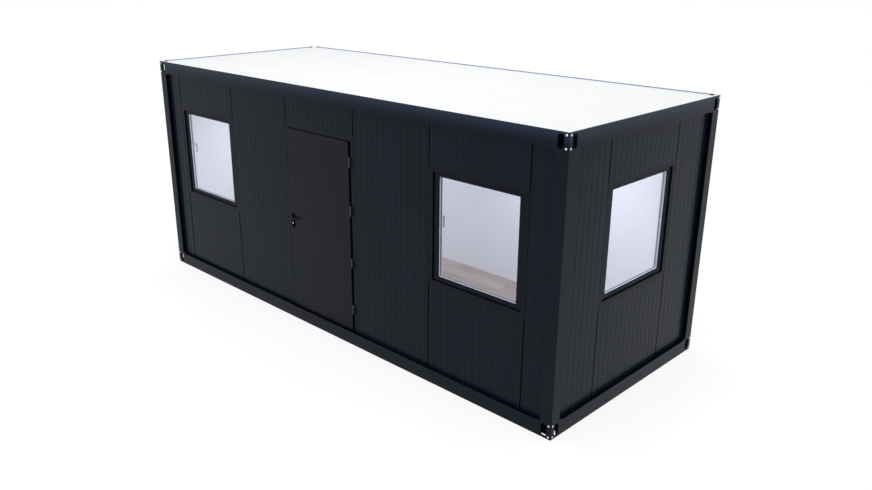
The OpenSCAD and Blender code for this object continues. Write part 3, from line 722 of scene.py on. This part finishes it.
class CABIN_OT_windows(bpy.types.Operator):
    """Glazes the windows: two sheets on a spacer, gaskets, black reveal linings of painted shade, and grips.
    """

    bl_idname = "cabin.windows"
    bl_label = "Windows"

    def execute(self, context):
        sizes, tones = context.scene.cabin_sizes, context.scene.cabin_colours
        glass, bars, gaskets, seals = (bmesh.new() for _ in range(4))
        for low, high in solids("window_panes"):
            place, half, deep = wall_place(low, high)
            thick = min(high.x - low.x, high.y - low.y)
            back = deep + thick
            for start in (deep, back - sizes.sheet):
                slab(glass, Vector((-half, start, low.z)), Vector((half, start + sizes.sheet, high.z)),
                     GLASS_EDGE, place, 1)
            ring(bars, Vector((-half + FILM, deep + sizes.sheet, low.z + FILM)),
                 Vector((half - FILM, back - sizes.sheet, high.z - FILM)),
                 sizes.bite + sizes.spacer_show, place)
            rim = sizes.bite + FILM
            for start, end in ((deep - sizes.gasket_deep, deep), (back, back + sizes.bead_deep)):
                ring(gaskets, Vector((-half + rim, start, low.z + rim)),
                     Vector((half - rim, end, high.z - rim)), sizes.gasket, place, GASKET_EDGE)
        # each sash reveal gets a black lining, painted shade of the reveal
        for low, high in solids("window_sashes"):
            place, half, deep = wall_place(low, high)
            lap = sizes.sash_lap + FILM
            ring(seals, Vector((-half + lap, deep - REVEAL_SHADE_DEEP, low.z + lap)),
                 Vector((half - lap, deep - FILM, high.z - lap)), sizes.reveal_shade_lining, place, GLASS_EDGE)
        settle(glass, "window_glass", clear_glass(tones), "cabin", ("window_panes",))
        spacer = moulded("matt_grey_spacer_bar", tones.spacer, rough=0.5, gloss=0.2, size=0.003)
        settle(bars, "glass_spacers", spacer, "cabin")
        rubber = moulded("black_sealing_rubber", tones.rubber, rough=0.7, gloss=0.03, size=0.002)
        settle(gaskets, "glass_gaskets", rubber, "cabin")
        settle(seals, "window_reveal_shade_linings", rubber, "cabin")
        low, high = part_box("window_panes")
        trim = lined_steel("foiled_window_profile", tones.trim, tones.lining, high.x - sizes.bite,
                           -low.y - sizes.bite, rough=0.4, gloss=0.08)
        dress(trim, "window_frames", "window_sashes")
        # the grips are moulded, so they are rounder than the other handles
        grip = moulded("satin_grey_plastic", tones.plastic, rough=0.4, gloss=0.3, size=0.003)
        soften("window_handles", "window_grips", grip, "cabin", sizes.soft_edge * 1.6)
        return {"FINISHED"}


class CABIN_OT_door(bpy.types.Operator):
    """Finishes the door: leaf, frame, seals, hinges, plates, levers and lock."""

    bl_idname = "cabin.door"
    bl_label = "Door"

    def execute(self, context):
        sizes, tones = context.scene.cabin_sizes, context.scene.cabin_colours
        dress(door_paint(tones), "door_leaf")
        jambs = lined_steel("enamelled_door_frame", tones.trim, tones.lining, ROOM.x + LINING,
                            ROOM.y + LINING / 2, rough=0.4, gloss=0.09)
        dress(jambs, "door_frame")
        hinge = hinge_paint(tones)
        soften("door_frame_hinges", "hinge_jamb_halves", hinge, "cabin", sizes.soft_edge / 2)
        soften("door_leaf_hinges", "hinge_leaf_halves", hinge, "door", sizes.soft_edge / 2)
        black = moulded("matt_black_powder_coat", tones.black, rough=0.5, gloss=0.015, size=0.002)
        soften("handle_plates", "lever_plates", black, "door", sizes.soft_edge)
        coat = moulded("dark_satin_lever_coat", tones.lever, rough=0.4, gloss=0.06, size=0.002)
        soften("lever_handle", "lever_pair", coat, "lever", sizes.soft_edge)
        dress(zinc_coat("nickel_plated_brass", tones.nickel, rough=0.25, size=0.01), "lock_cylinder")
        low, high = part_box("lock_cylinder")
        middle, key = (low + high) / 2, Vector((KEY_HALF, FILM, sizes.key_slot / 2))
        # each key slot is a black film on a face of the cylinder, painted shade of the opening
        slot_shades = bmesh.new()
        for face in (low.y, high.y):
            spot = Vector((middle.x, face, middle.z))
            slab(slot_shades, spot - key, spot + key, FILM / 2)
        settle(slot_shades, "key_slot_shades", black, "door")
        rubber = bpy.data.materials["black_sealing_rubber"]
        # a black strip on the hinge edge of the leaf is painted shade of the gap beside the hinges
        strip = bmesh.new()
        slab(strip, Vector((DOOR_HIGH.x - sizes.gap_shade_strip, DOOR_LOW.y - GAP_SHADE_PROUD, DOOR_LOW.z)),
             Vector((DOOR_HIGH.x + GAP_SHADE_PROUD, DOOR_HIGH.y - FILM, DOOR_HIGH.z)), STRIP_EDGE)
        settle(strip, "leaf_gap_shade_strip", rubber, "door")
        # the door seal is a ring whose lower part, drawn below the cabin, is cut off at the deck
        seal = bmesh.new()
        stop = DOOR_HIGH.y + STOP_GAP
        frame_low, frame_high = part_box("door_frame")
        left, right = frame_low.x + JAMB_LEFT + 2 * FILM, frame_high.x - JAMB_RIGHT - 2 * FILM
        ring(seal, Vector((left, stop - sizes.seal_deep, -DECK_TOP)),
             Vector((right, stop - FILM, DOOR_HIGH.z + HEAD_GAP)), sizes.door_seal)
        cut = bmesh.ops.bisect_plane(seal, geom=seal.verts[:] + seal.edges[:] + seal.faces[:],
                                     plane_co=(0, 0, DECK_TOP + SEAL_LIFT), plane_no=(0, 0, -1),
                                     clear_outer=True)
        bmesh.ops.holes_fill(seal, edges=[e for e in cut["geom_cut"] if isinstance(e, bmesh.types.BMEdge)])
        settle(seal, "door_seal", rubber, "cabin")
        return {"FINISHED"}


class CABIN_OT_stage(bpy.types.Operator):
    """Sets the pale floor, the sky, the soft lamps and the camera."""

    bl_idname = "cabin.stage"
    bl_label = "Stage"

    def execute(self, context):
        scene, tones, stage = context.scene, context.scene.cabin_colours, context.scene.cabin_stage
        mesh = bmesh.new()
        bmesh.ops.create_grid(mesh, x_segments=1, y_segments=1, size=FLOOR_HALF,
                              matrix=Matrix.Translation((0, 0, -FLOOR_DROP)))
        data = bpy.data.meshes.new("stage_floor")
        mesh.to_mesh(data)
        mesh.free()
        floor = bpy.data.objects.new("stage_floor", data)
        scene.collection.objects.link(floor)
        pale, tree, _ = finish("pale_studio_floor")
        matt = add(tree, "BsdfDiffuse", {"Color": shade(tones.floor)})
        # seen itself, the floor is white and keeps a faint shadow
        faint = add(tree, "BsdfDiffuse", {"Color": FAINT_GREY})
        glow = add(tree, "Emission", {"Color": WHITE, "Strength": 0.8})
        white = add(tree, "AddShader", {0: faint, 1: glow})
        both = add(tree, "MixShader", {0: self.seen(tree), 1: matt, 2: white})
        add(tree, "OutputMaterial", {"Surface": both})
        data.materials.append(pale)
        scene.world = bpy.data.worlds.new("white_studio")
        scene.world.use_nodes = True
        tree = scene.world.node_tree
        tree.nodes.clear()
        level = add(tree, "MapRange", {0: self.seen(tree), 1: 0.0, 2: 1.0, 3: stage.sky, 4: 1.0})
        sky = add(tree, "Background", {"Color": WHITE, "Strength": level})
        add(tree, "OutputWorld", {"Surface": sky})
        self.lamp(scene, "top_lamp", TOP_LAMP_PLACE, TOP_LAMP_SIZE, stage.top_lamp)
        for name, place in ROOM_LAMPS:
            self.lamp(scene, name, place, ROOM_LAMP_SIZE, stage.room_lamp)
        cam = bpy.data.cameras.new("photo_view")
        cam.sensor_width = SENSOR_WIDTH
        cam.lens = stage.lens
        cam.shift_x, cam.shift_y = CAMERA_SHIFT
        cam.clip_end = CAMERA_FAR
        view = bpy.data.objects.new("photo_view", cam)
        view.location = CAMERA_PLACE
        view.rotation_euler = (math.radians(CAMERA_TILT), 0.0, math.radians(CAMERA_HEADING))
        scene.collection.objects.link(view)
        scene.camera = view
        scene.view_settings.view_transform = "Standard"
        return {"FINISHED"}

    @staticmethod
    def seen(tree):
        """1 for rays that the camera, gloss or glass sends out, 0 for the light on the cabin."""
        rays = add(tree, "LightPath")
        some = add(tree, "Math", {0: rays.outputs["Is Camera Ray"], 1: rays.outputs["Is Glossy Ray"]},
                   operation="MAXIMUM")
        return add(tree, "Math", {0: some, 1: rays.outputs["Is Transmission Ray"]}, operation="MAXIMUM")

    @staticmethod
    def lamp(scene, name, place, size, power):
        """A soft lamp that faces down and isn't seen itself."""
        light = bpy.data.lights.new(name, "AREA")
        light.shape = "RECTANGLE"
        light.size, light.size_y = size
        light.energy = power
        held = bpy.data.objects.new(name, light)
        held.location = place
        held.visible_camera = held.visible_glossy = held.visible_transmission = False
        scene.collection.objects.link(held)


class CABIN_PT_panel(bpy.types.Panel):
    """Lists the steps that dress the cabin, and their sizes and colours."""

    bl_label = "Panel cabin"
    bl_space_type = "VIEW_3D"
    bl_region_type = "UI"
    bl_category = "Cabin"

    def draw(self, context):
        for step in STEPS:
            self.layout.operator("cabin." + step)
        for group in (context.scene.cabin_sizes, context.scene.cabin_colours, context.scene.cabin_stage):
            box = self.layout.box()
            for key in group.bl_rna.properties.keys():
                if key not in {"rna_type", "name"}:
                    box.prop(group, key)


STEPS = ("frame", "bolts", "walls", "roof", "floor", "windows", "door", "stage")
CLASSES = (CabinSizes, CabinColours, CabinStage, CABIN_OT_frame, CABIN_OT_bolts, CABIN_OT_walls,
           CABIN_OT_roof, CABIN_OT_floor, CABIN_OT_windows, CABIN_OT_door, CABIN_OT_stage, CABIN_PT_panel)


def register():
    """Registers the classes and hangs their settings on the scene."""
    for made in CLASSES:
        bpy.utils.register_class(made)
    bpy.types.Scene.cabin_sizes = PointerProperty(type=CabinSizes)
    bpy.types.Scene.cabin_colours = PointerProperty(type=CabinColours)
    bpy.types.Scene.cabin_stage = PointerProperty(type=CabinStage)


def unregister():
    """Takes the settings off the scene and the classes out."""
    del bpy.types.Scene.cabin_sizes, bpy.types.Scene.cabin_colours, bpy.types.Scene.cabin_stage
    for made in reversed(CLASSES):
        bpy.utils.unregister_class(made)


def main():
    """Dresses the cabin step by step."""
    register()
    for step in STEPS:
        getattr(bpy.ops.cabin, step)()


if __name__ == "__main__":
    main()
